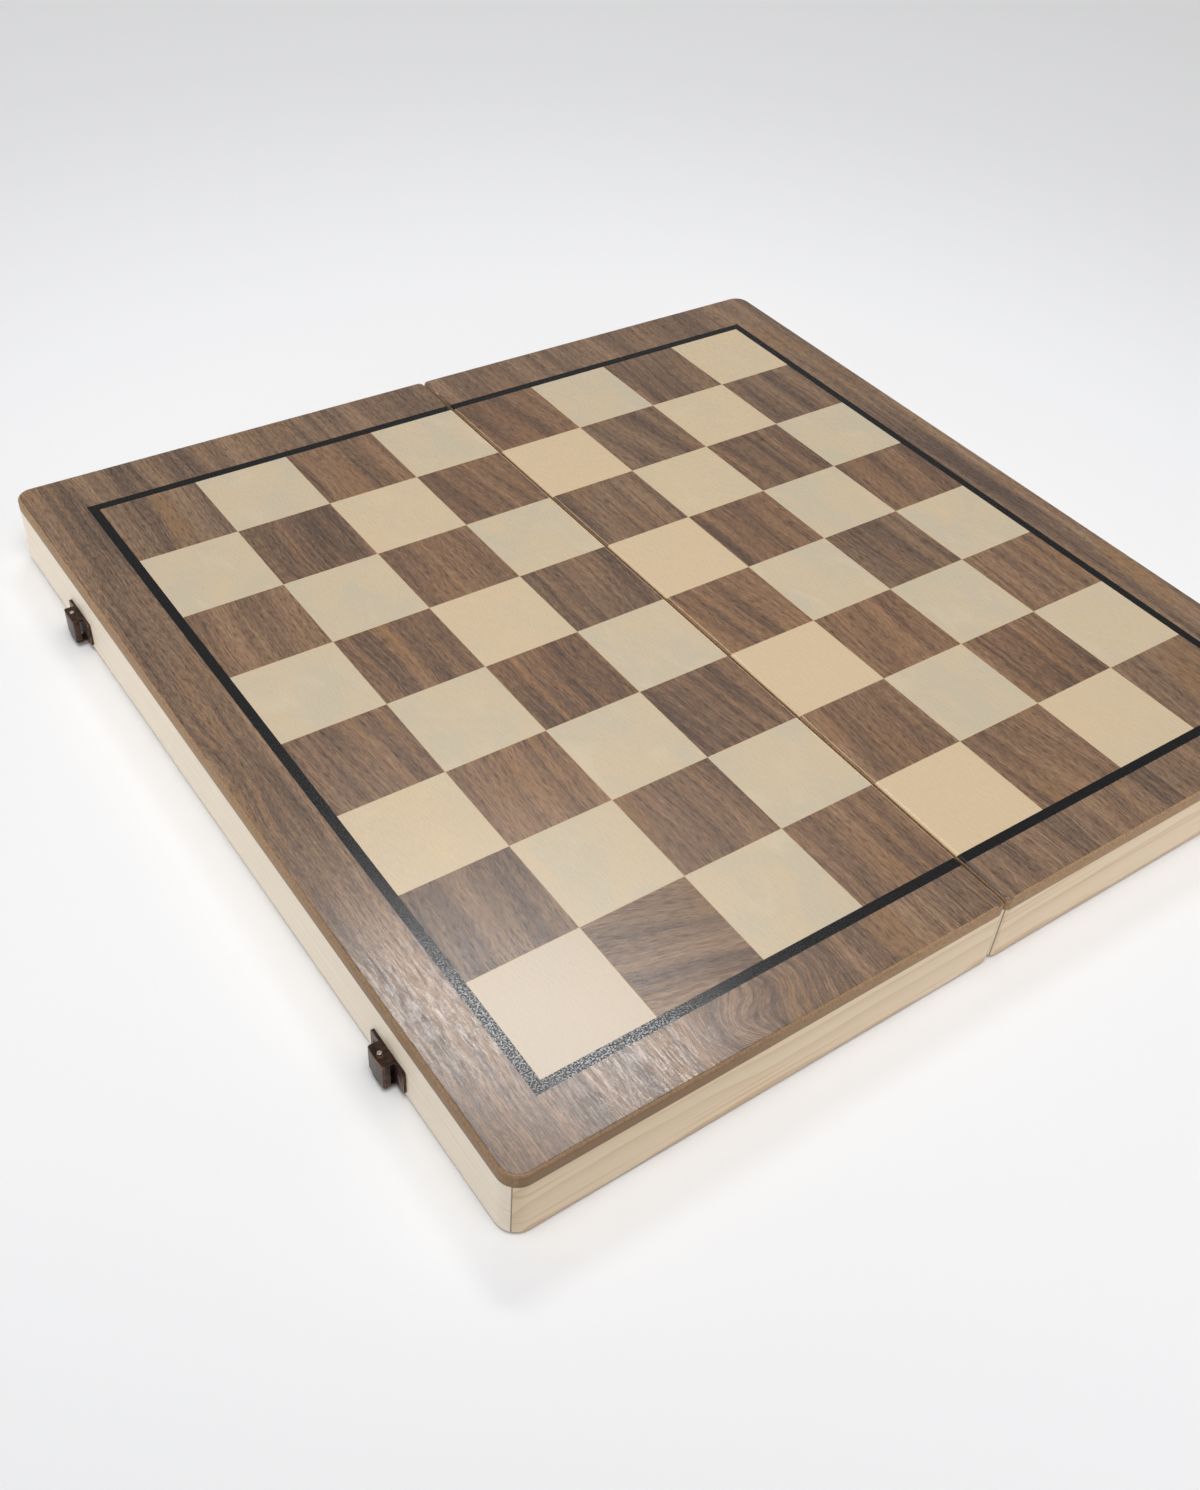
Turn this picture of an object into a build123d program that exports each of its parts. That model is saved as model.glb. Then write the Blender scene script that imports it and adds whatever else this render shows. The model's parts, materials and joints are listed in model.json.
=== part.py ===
from build123d import *
import os

# Folding chessboard with a storage tray in each half, open flat with its squares up.
# X runs across the board and Y along the seam between its halves.
# The left half, towards -X, carries the latches. The right half folds under it about
# a line along Y at X = 0, so that the two trays meet rim to rim.
# Z = 0 is the table. The hinge knuckles reach down to it and the rims stand just above.

os.makedirs("parts", exist_ok=True)

# Playing surface, in millimetres
square_size = 41.0
rows = 8
columns_per_half = 4
line_width = 3.9
outer_border = 25.35  # field to the outer long edge, with the black line
near_border = 24.2  # field to the near end, with the black line
far_border = 28.6  # field to the far end: the field sits a little off the middle
seam_margin = 0.9  # the squares beside the seam run on this far to the edge
seam_gap = 0.5
veneer_joint = 0.05
veneer_thickness = 0.6

# Panel and walls
core_thickness = 4.4
wall_height = 23.6
wall_thickness = 9.0
corner_radius = 7.0
seam_corner_radius = 2.5
top_round = 1.4
rim_chamfer = 0.6

# Lining and slotted foam of each tray
felt_thickness = 0.8
foam_thickness = 16.0
foam_clearance = 0.25
slot_count = 8
slot_rib = 11.5  # foam left between two slots
slot_margin = 9.0  # foam left beyond the first and last slot
slot_side = 7.9  # foam left at the ends of each slot
slot_corner = 3.0

# Butt hinges, let into the walls beside the seam
hinge_inset = 75.5  # end of the board to the hinge's middle
hinge_length = 25.0
leaf_height = 11.0
leaf_thickness = 0.5
knuckle_count = 3
knuckle_radius = 1.0
knuckle_gap = 0.15
knuckle_relief = 0.15
hinge_pin_radius = 0.5
running_clearance = 0.03
rim_clearance = 0.1  # the fold line lies this far below the rims
hinge_screw_height = 7.0  # above the fold line
hinge_screw_spacing = 16.0
hinge_screw_radius = 1.4
hinge_shank_radius = 0.6
hinge_screw_length = 6.0

# Latches and strikes, on the outer long walls
latch_inset = 67.0  # end of the board to the latch's middle
plate_length = 20.0
plate_height = 10.0
plate_thickness = 1.1
plate_corner = 0.6
plate_lift = 2.0  # rim to the plate's lower edge
plate_screw_spacing = 14.8
ear_thickness = 0.7
ear_width = 9.7
ear_reach = 4.9  # wall to the ear's outer corners
ear_bow = 0.3
ear_corner = 0.5
foot_drop = 0.6  # the lower ear lies this far below the plate's edge
foot_near_edge = 0.6  # the lower ear's root ends this far short of the pin
foot_far_reach = 2.0
latch_pin_radius = 0.8
latch_pin_reach = 3.3  # wall to the pin's axis
latch_pin_stand = 1.3

# Lever between the ears
lever_gap = 0.2
lever_sheet = 0.6
lever_inner_reach = 2.6  # wall to the free edges of the lever's sides
lever_lobe_radius = 1.25
claw_near = 2.4  # pin to the near side of the claw, along the wall
claw_width = 1.6
claw_lift = 5.2  # rim to the claw's underside
claw_height = 2.0
claw_reach = 1.25  # wall to the claw's tip
spring_wire = 0.3
spring_turns = 8

# Folding tongue of the strike
tongue_thickness = 0.6
tongue_gap = 0.2  # plate to the tongue in use
tongue_axis_gap = 0.1  # tongue to its pivot's axis
tongue_axis_lift = 3.0  # rim to the pivot's axis
tongue_rail = 0.8  # sheet left beside and above the window
window_clearance = 0.3
tongue_knuckle_radius = 0.8
tongue_pin_radius = 0.4
lug_width = 1.5
lug_gap = 0.1

# Countersunk wood screws of the latches and strikes
screw_head_radius = 1.7
screw_head_depth = 1.0
screw_shank_radius = 0.8
screw_length = 7.0
screw_sides = 8
hole_clearance = 0.05
bore_sides = 12  # of the holes that hold a pin

# What follows from the sizes above
seam_face = seam_gap / 2
field_inner = seam_face + seam_margin
field_outer = field_inner + columns_per_half * square_size
half_edge = field_outer + outer_border
half_width = half_edge - seam_face
field_end = rows * square_size / 2
half_length = field_end + (near_border + far_border) / 2
hinge_offset = half_length - hinge_inset
latch_offset = half_length - latch_inset
field_y = (near_border - far_border) / 2
fold_z = knuckle_radius
knuckle_room = knuckle_radius + knuckle_relief
rim_z = fold_z + rim_clearance
core_bottom = rim_z + wall_height
core_top = core_bottom + core_thickness
board_top = core_top + veneer_thickness
tray_edge = half_edge - wall_thickness
tray_seam = seam_face + wall_thickness
tray_end = half_length - wall_thickness
tray_middle = (tray_edge + tray_seam) / 2
felt_bottom = core_bottom - felt_thickness
foam_bottom = felt_bottom - foam_thickness


# Writes a finished piece to its own file
def save(piece, name):
    piece.part.label = name
    export_step(piece.part, f"parts/{name}.step")


# A countersunk wood screw with its head's face at the origin, pointing down. With some
# clearance it is the hole that the screw needs in what it passes through.
def wood_screw(head_radius, head_depth, shank_radius, length, clearance=0):
    with BuildPart() as screw:
        with BuildSketch(Plane.XY):
            RegularPolygon(head_radius + clearance, screw_sides)
        with BuildSketch(Plane.XY.offset(-head_depth)):
            RegularPolygon(shank_radius + clearance, screw_sides)
        loft()
        with BuildSketch(Plane.XY.offset(-head_depth)):
            RegularPolygon(shank_radius + clearance, screw_sides)
        extrude(amount=head_depth - length - clearance)
    return screw.part


# A rod with flat sides, no nearer to its axis than the radius: the hole that holds a pin
def bore_rod(radius, length):
    with BuildPart() as rod:
        with BuildSketch(Plane.XY.offset(-length / 2)):
            RegularPolygon(radius, bore_sides, major_radius=False)
        extrude(amount=length)
    return rod.part


# A plate or slot with its corners cut
def cut_rectangle(width, height, corner, mode=Mode.ADD):
    with BuildSketch(mode=Mode.PRIVATE) as outline:
        Rectangle(width, height)
        chamfer(outline.vertices(), corner)
    return add(outline.sketch, mode=mode)


# Outline of the latch's ears and lever, from a line beside the wall out to the bowed front
def ear_plan(centre_y, inner_reach, front_reach, width):
    near = centre_y - width / 2
    far = centre_y + width / 2
    with BuildSketch() as plan:
        with BuildLine():
            Polyline(
                (-half_edge - front_reach, near),
                (-half_edge - inner_reach, near),
                (-half_edge - inner_reach, far),
                (-half_edge - front_reach, far),
            )
            ThreePointArc(
                (-half_edge - front_reach, far),
                (-half_edge - front_reach - ear_bow, centre_y),
                (-half_edge - front_reach, near),
            )
        make_face()
        chamfer(plan.vertices().group_by(Axis.X)[0], ear_corner)
    return plan.sketch


plate_screw_sizes = (screw_head_radius, screw_head_depth, screw_shank_radius, screw_length)
hinge_screw_sizes = (hinge_screw_radius, leaf_thickness, hinge_shank_radius, hinge_screw_length)
plate_screw = wood_screw(*plate_screw_sizes)
plate_screw_hole = wood_screw(*plate_screw_sizes, hole_clearance)
hinge_screw = wood_screw(*hinge_screw_sizes)
hinge_screw_hole = wood_screw(*hinge_screw_sizes, hole_clearance)

# Where the screws stand: point and turn, with the head towards the open side
latch_z = rim_z + plate_lift + plate_height / 2
plate_face = half_edge + plate_thickness
plate_screw_ys = [
    side * latch_offset + end * plate_screw_spacing / 2 for side in (-1, 1) for end in (-1, 1)
]
plate_screw_places = {
    sign: [Location((sign * plate_face, y, latch_z), (0, 90 * sign, 0)) for y in plate_screw_ys]
    for sign in (-1, 1)
}
hinge_screw_ys = [
    side * hinge_offset + end * hinge_screw_spacing / 2 for side in (-1, 1) for end in (-1, 1)
]
hinge_screw_z = fold_z + hinge_screw_height
hinge_screw_places = {
    sign: [Location((sign * seam_face, y, hinge_screw_z), (0, -90 * sign, 0)) for y in hinge_screw_ys]
    for sign in (-1, 1)
}


# The places out of a list that lie on the same side of the middle as y
def same_end(places, y):
    return [spot for spot in places if spot.position.Y * y > 0]


# Whole left half, with the rounding that its panel, veneer and walls share
with BuildPart() as left_block:
    with BuildSketch(Plane.XY.offset(rim_z)) as left_plan:
        with Locations((-seam_face - half_width / 2, 0)):
            Rectangle(half_width, 2 * half_length)
        fillet(left_plan.vertices().group_by(Axis.X)[0], corner_radius)
        fillet(left_plan.vertices().group_by(Axis.X)[-1], seam_corner_radius)
    extrude(amount=board_top - rim_z)
    fillet(left_block.edges().group_by(Axis.Z)[-1], top_round)
    chamfer(left_block.edges().group_by(Axis.Z)[0], rim_chamfer)

blocks = {-1: left_block.part, 1: mirror(left_block.part, about=Plane.YZ)}

for half, sign in (("left", -1), ("right", 1)):
    block = blocks[sign]

    # Fibreboard panel under the veneers
    with BuildPart() as core:
        add(block)
        split(bisect_by=Plane.XY.offset(core_top), keep=Keep.BOTTOM)
        split(bisect_by=Plane.XY.offset(core_bottom), keep=Keep.TOP)
    save(core, f"{half}_core_panel")

    with BuildPart() as veneer_layer:
        add(block)
        split(bisect_by=Plane.XY.offset(core_top), keep=Keep.TOP)

    # Walnut border on three sides, outside the black line
    with BuildPart() as border:
        add(veneer_layer.part)
        with BuildSketch(Plane.XY.offset(core_top)):
            with Locations((sign * (field_outer + line_width) / 2, field_y)):
                Rectangle(field_outer + line_width, 2 * (field_end + line_width))
        extrude(amount=veneer_thickness, mode=Mode.SUBTRACT)
    save(border, f"{half}_border_veneer")

    # Black line round the field, open at the seam
    with BuildPart() as line_inlay:
        with BuildSketch(Plane.XY.offset(core_top)):
            with Locations((sign * (field_outer + line_width) / 2, field_y)):
                Rectangle(field_outer + line_width, 2 * (field_end + line_width))
            with Locations((sign * field_outer / 2, field_y)):
                Rectangle(field_outer, 2 * field_end, mode=Mode.SUBTRACT)
        extrude(amount=veneer_thickness)
        add(veneer_layer.part, mode=Mode.INTERSECT)
    save(line_inlay, f"{half}_line_inlay")

    # Sixteen light and sixteen dark squares, the seam column cut by the rounded edge
    for tone, parity in (("light", 0), ("dark", 1)):
        with BuildPart() as squares:
            with BuildSketch(Plane.XY.offset(core_top)):
                for step in range(columns_per_half):
                    column = columns_per_half + step if sign > 0 else columns_per_half - 1 - step
                    inner = field_inner + step * square_size if step else 0
                    outer = field_inner + (step + 1) * square_size
                    for row in range(rows):
                        if (column + row) % 2 == parity:
                            centre_y = field_y - field_end + (row + 0.5) * square_size
                            with Locations((sign * (inner + outer) / 2, centre_y)):
                                Rectangle(outer - inner - veneer_joint, square_size - veneer_joint)
            extrude(amount=veneer_thickness)
            add(veneer_layer.part, mode=Mode.INTERSECT)
        save(squares, f"{half}_{tone}_squares")

    # Outer long wall, mitred at both ends, with pilot holes for the latch or strike screws
    with BuildPart() as outer_wall:
        with BuildSketch(Plane.XY.offset(rim_z)):
            with BuildLine():
                Polyline(
                    (sign * half_edge, -half_length),
                    (sign * half_edge, half_length),
                    (sign * tray_edge, tray_end),
                    (sign * tray_edge, -tray_end),
                    close=True,
                )
            make_face()
        extrude(amount=wall_height)
        add(block, mode=Mode.INTERSECT)
        with Locations(*plate_screw_places[sign]):
            add(plate_screw_hole, mode=Mode.SUBTRACT)
    save(outer_wall, f"{half}_outer_wall")

    # Wall beside the seam, with mortises for the hinge leaves and room for their knuckles
    with BuildPart() as hinge_wall:
        with BuildSketch(Plane.XY.offset(rim_z)):
            with BuildLine():
                Polyline(
                    (sign * seam_face, -half_length),
                    (sign * seam_face, half_length),
                    (sign * tray_seam, tray_end),
                    (sign * tray_seam, -tray_end),
                    close=True,
                )
            make_face()
        extrude(amount=wall_height)
        add(block, mode=Mode.INTERSECT)
        mortise_depth = seam_face + leaf_thickness
        mortise_height = fold_z + leaf_height - rim_z
        with Locations(*[(sign * mortise_depth / 2, side * hinge_offset, rim_z) for side in (-1, 1)]):
            Box(mortise_depth, hinge_length, 2 * mortise_height, mode=Mode.SUBTRACT)
        with Locations(*[(0, side * hinge_offset, fold_z) for side in (-1, 1)]):
            Box(2 * knuckle_room, hinge_length + 2 * knuckle_gap, 2 * knuckle_room, mode=Mode.SUBTRACT)
        with Locations(*hinge_screw_places[sign]):
            add(hinge_screw_hole, mode=Mode.SUBTRACT)
    save(hinge_wall, f"{half}_hinge_wall")

    # End walls, mitred into the two long walls
    for end, side in (("near", -1), ("far", 1)):
        with BuildPart() as end_wall:
            with BuildSketch(Plane.XY.offset(rim_z)):
                with BuildLine():
                    Polyline(
                        (sign * seam_face, side * half_length),
                        (sign * half_edge, side * half_length),
                        (sign * tray_edge, side * tray_end),
                        (sign * tray_seam, side * tray_end),
                        close=True,
                    )
                make_face()
            extrude(amount=wall_height)
            add(block, mode=Mode.INTERSECT)
        save(end_wall, f"{half}_{end}_wall")

    # Felt glued to the underside of the panel
    with BuildPart() as felt:
        with BuildSketch(Plane.XY.offset(felt_bottom)):
            with Locations((sign * tray_middle, 0)):
                Rectangle(tray_edge - tray_seam, 2 * tray_end)
        extrude(amount=felt_thickness)
    save(felt, f"{half}_felt_lining")

    # Foam with one slot for each pair of pieces, laid end to end
    foam_width = tray_edge - tray_seam - 2 * foam_clearance
    foam_length = 2 * (tray_end - foam_clearance)
    slot_length = foam_width - 2 * slot_side
    slot_width = (foam_length - 2 * slot_margin - (slot_count - 1) * slot_rib) / slot_count
    with BuildPart() as foam:
        with BuildSketch(Plane.XY.offset(foam_bottom)):
            with Locations((sign * tray_middle, 0)):
                Rectangle(foam_width, foam_length)
                with GridLocations(0, slot_width + slot_rib, 1, slot_count):
                    cut_rectangle(slot_length, slot_width, slot_corner, mode=Mode.SUBTRACT)
        extrude(amount=foam_thickness)
    save(foam, f"{half}_foam_insert")

    with BuildPart() as hinge_screws:
        with Locations(*hinge_screw_places[sign]):
            add(hinge_screw)
    save(hinge_screws, f"{half}_hinge_screws")

# Hinges: three knuckles on the left leaf and two on the right, between them
knuckle_pitch = hinge_length / knuckle_count
for place, hinge_y in (("near", -hinge_offset), ("far", hinge_offset)):
    knuckle_centres = [hinge_y - hinge_length / 2 + (n + 0.5) * knuckle_pitch for n in range(knuckle_count)]
    for half, sign in (("left", -1), ("right", 1)):
        own = knuckle_centres[0::2] if sign < 0 else knuckle_centres[1::2]
        other = knuckle_centres[1::2] if sign < 0 else knuckle_centres[0::2]
        bore_length = hinge_length + knuckle_pitch
        with BuildPart() as leaf:
            with Locations((sign * (seam_face + leaf_thickness / 2), hinge_y, fold_z + leaf_height / 2)):
                Box(leaf_thickness, hinge_length, leaf_height)
            with Locations(*[(0, y, fold_z) for y in other]):
                Box(2 * knuckle_room, knuckle_pitch + knuckle_gap, 2 * knuckle_room, mode=Mode.SUBTRACT)
            with Locations(*[Location((0, y, fold_z), (90, 0, 0)) for y in own]):
                Cylinder(knuckle_radius, knuckle_pitch - knuckle_gap)
            with Locations(Location((0, hinge_y, fold_z), (90, 0, 0))):
                if sign < 0:
                    add(bore_rod(hinge_pin_radius, bore_length), mode=Mode.SUBTRACT)
                else:
                    Cylinder(hinge_pin_radius + running_clearance, bore_length, mode=Mode.SUBTRACT)
            with Locations(*same_end(hinge_screw_places[sign], hinge_y)):
                add(hinge_screw_hole, mode=Mode.SUBTRACT)
        save(leaf, f"{place}_hinge_{half}_leaf")

    with BuildPart() as hinge_pin:
        with Locations(Location((0, hinge_y, fold_z), (90, 0, 0))):
            Cylinder(hinge_pin_radius, hinge_length)
    save(hinge_pin, f"{place}_hinge_pin")

# Latches on the left outer wall
foot_z = rim_z + plate_lift - foot_drop
ear_z = rim_z + plate_lift + plate_height - ear_thickness
lever_low = foot_z + ear_thickness + lever_gap
lever_high = ear_z - lever_gap
pin_x = -half_edge - latch_pin_reach
for place, latch_y in (("near", -latch_offset), ("far", latch_offset)):
    wall_plane = Plane((-half_edge, latch_y, latch_z), x_dir=(0, 1, 0), z_dir=(-1, 0, 0))

    # Base plate with an ear folded out above the lever and a shorter one below it,
    # cut away on the far side where the strike's tongue comes in
    with BuildPart() as latch_base:
        with BuildSketch(wall_plane):
            cut_rectangle(plate_length, plate_height, plate_corner)
        extrude(amount=plate_thickness)
        with BuildSketch(Plane.XY.offset(ear_z)):
            add(ear_plan(latch_y, 0, ear_reach, ear_width))
        extrude(amount=ear_thickness)
        with BuildSketch(Plane.XY.offset(foot_z)):
            add(ear_plan(latch_y, 0, ear_reach, ear_width))
            notch_far = latch_y + ear_width
            notch_outer = claw_reach + tongue_thickness + 2 * tongue_gap
            with Locations((-half_edge - notch_outer / 2, (latch_y - foot_near_edge + notch_far) / 2)):
                Rectangle(notch_outer, notch_far - latch_y + foot_near_edge, mode=Mode.SUBTRACT)
            with Locations((-half_edge - ear_reach, (latch_y + foot_far_reach + notch_far) / 2)):
                Rectangle(2 * ear_reach, notch_far - latch_y - foot_far_reach, mode=Mode.SUBTRACT)
        extrude(amount=ear_thickness)
        with BuildSketch(Plane.XY.offset(foot_z)):
            foot_root = latch_y - (ear_width / 2 + foot_near_edge) / 2
            with Locations((-half_edge - plate_thickness / 2, foot_root)):
                Rectangle(plate_thickness, ear_width / 2 - foot_near_edge)
        extrude(amount=foot_drop + ear_thickness)
        with Locations((pin_x, latch_y, latch_z)):
            add(bore_rod(latch_pin_radius, 2 * plate_height), mode=Mode.SUBTRACT)
        with Locations(*same_end(plate_screw_places[-1], latch_y)):
            add(plate_screw_hole, mode=Mode.SUBTRACT)
    save(latch_base, f"{place}_latch_base")

    # Bowed lever with folded sides, a lobe round the pin at top and bottom and the claw
    with BuildPart() as lever:
        with BuildSketch(Plane.XY.offset(lever_low)):
            add(ear_plan(latch_y, lever_inner_reach, ear_reach, ear_width))
        extrude(amount=lever_high - lever_low)
        with BuildSketch(Plane.XY.offset(lever_low)):
            inner_width = ear_width - 2 * lever_sheet
            add(ear_plan(latch_y, 0, ear_reach - lever_sheet, inner_width))
        extrude(amount=lever_high - lever_low, mode=Mode.SUBTRACT)
        flange_reach = ear_reach - lever_sheet / 2
        flange_width = ear_width - lever_sheet
        for flange_z in (lever_low, lever_high - lever_sheet):
            with BuildSketch(Plane.XY.offset(flange_z)):
                add(ear_plan(latch_y, lever_inner_reach, flange_reach, flange_width))
                with Locations((pin_x, latch_y)):
                    Circle(lever_lobe_radius)
            extrude(amount=lever_sheet)
        with BuildSketch(Plane.XZ.offset(-latch_y - claw_near)):
            claw_z = rim_z + claw_lift
            with BuildLine():
                Polyline(
                    (-half_edge - ear_reach + lever_sheet / 2, claw_z),
                    (-half_edge - lever_inner_reach, claw_z),
                    (-half_edge - claw_reach, claw_z + claw_height - lever_sheet),
                    (-half_edge - claw_reach, claw_z + claw_height),
                    (-half_edge - ear_reach + lever_sheet / 2, claw_z + claw_height),
                    close=True,
                )
            make_face()
        extrude(amount=-claw_width)
        with Locations((pin_x, latch_y, latch_z)):
            add(bore_rod(latch_pin_radius + running_clearance, 2 * plate_height), mode=Mode.SUBTRACT)
    save(lever, f"{place}_latch_lever")

    pin_low = foot_z
    pin_high = ear_z + ear_thickness + latch_pin_stand
    with BuildPart() as latch_pin:
        with BuildSketch(Plane.XY.offset(pin_low)):
            with Locations((pin_x, latch_y)):
                Circle(latch_pin_radius)
        extrude(amount=pin_high - pin_low)
    save(latch_pin, f"{place}_latch_pin")

    # Torsion spring wound close on the pin, as the sleeve that its turns fill
    spring_inner = latch_pin_radius + hole_clearance
    with BuildPart() as spring:
        with BuildSketch(Plane.XY.offset(latch_z - spring_turns * spring_wire / 2)):
            with Locations((pin_x, latch_y)):
                RegularPolygon(spring_inner + 1.2 * spring_wire, screw_sides)
                Circle(spring_inner, mode=Mode.SUBTRACT)
        extrude(amount=spring_turns * spring_wire)
    save(spring, f"{place}_latch_spring")

with BuildPart() as latch_screws:
    with Locations(*plate_screw_places[-1]):
        add(plate_screw)
save(latch_screws, "latch_screws")

# Strikes on the right outer wall, each with a tongue that folds up flat for play
pivot_reach = plate_thickness + tongue_gap + tongue_thickness + tongue_axis_gap
pivot_z = rim_z + tongue_axis_lift
claw_far = claw_near + claw_width
window_near = claw_near - window_clearance
window_far = claw_far + window_clearance
tongue_near = window_near - tongue_rail
tongue_far = window_far + tongue_rail
pivot_drop = tongue_axis_lift + 2 * rim_clearance
window_low = pivot_drop + claw_lift - window_clearance
window_high = pivot_drop + claw_lift + claw_height + window_clearance
tongue_length = window_high + 2 * tongue_rail
for place, latch_y in (("near", -latch_offset), ("far", latch_offset)):
    wall_plane = Plane((half_edge, latch_y, latch_z), x_dir=(0, 1, 0), z_dir=(1, 0, 0))
    pivot_turn = (90, 0, 0)
    lug_centres = [tongue_near - lug_gap - lug_width / 2, tongue_far + lug_gap + lug_width / 2]

    with BuildPart() as strike_plate:
        with BuildSketch(wall_plane):
            cut_rectangle(plate_length, plate_height, plate_corner)
        extrude(amount=plate_thickness)
        for lug_y in lug_centres:
            with BuildSketch(Plane.XZ.offset(-latch_y - lug_y - lug_width / 2)) as lug_side:
                with Locations((half_edge + (pivot_reach + tongue_knuckle_radius) / 2, pivot_z)):
                    Rectangle(pivot_reach + tongue_knuckle_radius, 2 * tongue_knuckle_radius)
                chamfer(lug_side.vertices().group_by(Axis.X)[-1], tongue_knuckle_radius / 2)
            extrude(amount=lug_width)
        with Locations(Location((half_edge + pivot_reach, latch_y, pivot_z), pivot_turn)):
            add(bore_rod(tongue_pin_radius, 2 * plate_length), mode=Mode.SUBTRACT)
        with Locations(*same_end(plate_screw_places[1], latch_y)):
            add(plate_screw_hole, mode=Mode.SUBTRACT)
    save(strike_plate, f"{place}_strike_plate")

    tongue_middle = latch_y + (tongue_near + tongue_far) / 2
    tongue_face = half_edge + pivot_reach + tongue_axis_gap
    tongue_plane = Plane((tongue_face, tongue_middle, pivot_z), x_dir=(0, 1, 0), z_dir=(1, 0, 0))
    with BuildPart() as tongue:
        with BuildSketch(tongue_plane) as tongue_plan:
            with Locations((0, tongue_length / 2)):
                Rectangle(tongue_far - tongue_near, tongue_length)
            chamfer(tongue_plan.vertices().group_by(Axis.Y)[-1], tongue_rail / 2)
            with Locations((0, (window_low + window_high) / 2)):
                Rectangle(window_far - window_near, window_high - window_low, mode=Mode.SUBTRACT)
        extrude(amount=tongue_thickness)
        with Locations(Location((half_edge + pivot_reach, tongue_middle, pivot_z), pivot_turn)):
            Cylinder(tongue_knuckle_radius, tongue_far - tongue_near)
            Cylinder(tongue_pin_radius + running_clearance, 2 * plate_length, mode=Mode.SUBTRACT)
    save(tongue, f"{place}_strike_tongue")

    with BuildPart() as strike_pin:
        with Locations(Location((half_edge + pivot_reach, tongue_middle, pivot_z), pivot_turn)):
            Cylinder(tongue_pin_radius, tongue_far - tongue_near + 2 * (lug_gap + lug_width))
    save(strike_pin, f"{place}_strike_pin")

with BuildPart() as strike_screws:
    with Locations(*plate_screw_places[1]):
        add(plate_screw)
save(strike_screws, "strike_screws")

print(f"board {2 * half_edge:.1f} x {2 * half_length:.1f}, {board_top - rim_z:.1f} above the rims")
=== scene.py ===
import json
import math
import bpy
import bmesh
from mathutils import Matrix, Quaternion, Vector


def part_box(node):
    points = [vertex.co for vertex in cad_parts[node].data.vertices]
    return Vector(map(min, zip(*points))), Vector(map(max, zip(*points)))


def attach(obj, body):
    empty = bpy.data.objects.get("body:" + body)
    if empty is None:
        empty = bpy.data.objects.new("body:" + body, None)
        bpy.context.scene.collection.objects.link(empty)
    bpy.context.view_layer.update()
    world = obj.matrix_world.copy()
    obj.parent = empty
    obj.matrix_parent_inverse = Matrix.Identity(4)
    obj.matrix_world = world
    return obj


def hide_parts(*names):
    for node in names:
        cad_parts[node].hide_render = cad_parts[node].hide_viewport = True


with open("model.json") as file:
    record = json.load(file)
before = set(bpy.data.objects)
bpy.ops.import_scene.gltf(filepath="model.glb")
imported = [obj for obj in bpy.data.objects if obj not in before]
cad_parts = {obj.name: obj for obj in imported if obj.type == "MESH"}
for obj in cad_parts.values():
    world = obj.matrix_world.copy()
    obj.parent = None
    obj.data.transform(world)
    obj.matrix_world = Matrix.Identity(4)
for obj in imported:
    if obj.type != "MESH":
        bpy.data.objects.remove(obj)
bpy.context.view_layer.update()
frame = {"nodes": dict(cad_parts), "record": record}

scene = bpy.context.scene
mm = 0.001

print("stage: frame loaded")

# Sizes that the looks share with the board, in millimetres
board = {
    "square": 41.0,
    "fieldInner": 1.15,  # seam to the first line of squares
    "fieldY": -2.2,  # the field's place off the middle
    "lastJoint": 3.5,  # in squares; past it lies the field's own outline
    "halfEdge": 190.5,
    "halfLength": 190.4,
    "seamFace": 0.25,  # middle of the seam to each half
    "top": 29.7,
    "latchY": 123.4,
}


# The camera, in pixels of the frame and millimetres
camera = {
    "frame": (1200, 1490),
    "focal": 1523.71,
    "centre": (640.07, 754.25),
    "sensor": 36.0,
    "place": (-312.08, -373.36, 391.65),
    "right": (0.81009, -0.58163, 0.07393),
    "down": (-0.35217, -0.58351, -0.73178),
    "ahead": (0.46876, 0.56677, -0.67752),
    "clip": (0.01, 30),  # metres
}


def addCamera():
    data = bpy.data.cameras.new("viewCamera")
    made = bpy.data.objects.new("viewCamera", data)
    scene.collection.objects.link(made)
    (width, height), (acrossFrame, downFrame) = camera["frame"], camera["centre"]
    data.sensor_width = camera["sensor"]
    data.lens = camera["focal"] / height * camera["sensor"]
    data.shift_x = -(acrossFrame - width / 2) / height
    data.shift_y = (downFrame - height / 2) / height
    data.clip_start, data.clip_end = camera["clip"]
    right, down, ahead = (Vector(camera[k]) for k in ("right", "down", "ahead"))
    turn = Matrix((right, -down, -ahead)).transposed()
    made.matrix_world = Matrix.Translation(Vector(camera["place"]) * mm) @ turn.to_4x4()
    scene.camera = made


addCamera()
print("stage: camera")


# Light and table, in metres. In all these looks, pairs of numbers are where a change begins and ends.
tableLook = {
    "radius": 9,
    "sides": 128,
    "colour": (0.962, 0.964, 0.977),
    "cloudScale": 3.0,
    "cloudShare": 0.992,
    "behindShadeShare": 0.88,  # painted shade: the table is darker behind the board, where less light reaches it
    "behindWay": (0.6, 0.8),
    "behindStarts": (0.0, 0.2),
    "behindFall": (0.26, 0.70),
    "whiteFrom": (0.95, 1.9),  # further away it turns into the white background
    "whiteRange": (1.5, 8.0),  # and that gets brighter still, between these levels
    "whiteLevel": (0.91, 1.0),
    "roughness": 0.75,
    "specular": 0.2,
}
# A dark card stands behind the camera, and fades out to its sides and top
cardLook = {
    "place": (-0.39, -0.45),
    "size": (1.15, 0.72),
    "colours": ((0.02, 0.02, 0.02), (0.05, 0.05, 0.05)),
    "grainScale": 40.0,
    "sideFade": (0.28, 0.5),  # shares of its width and height
    "topFade": (0.25, 0.5),
}
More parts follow.
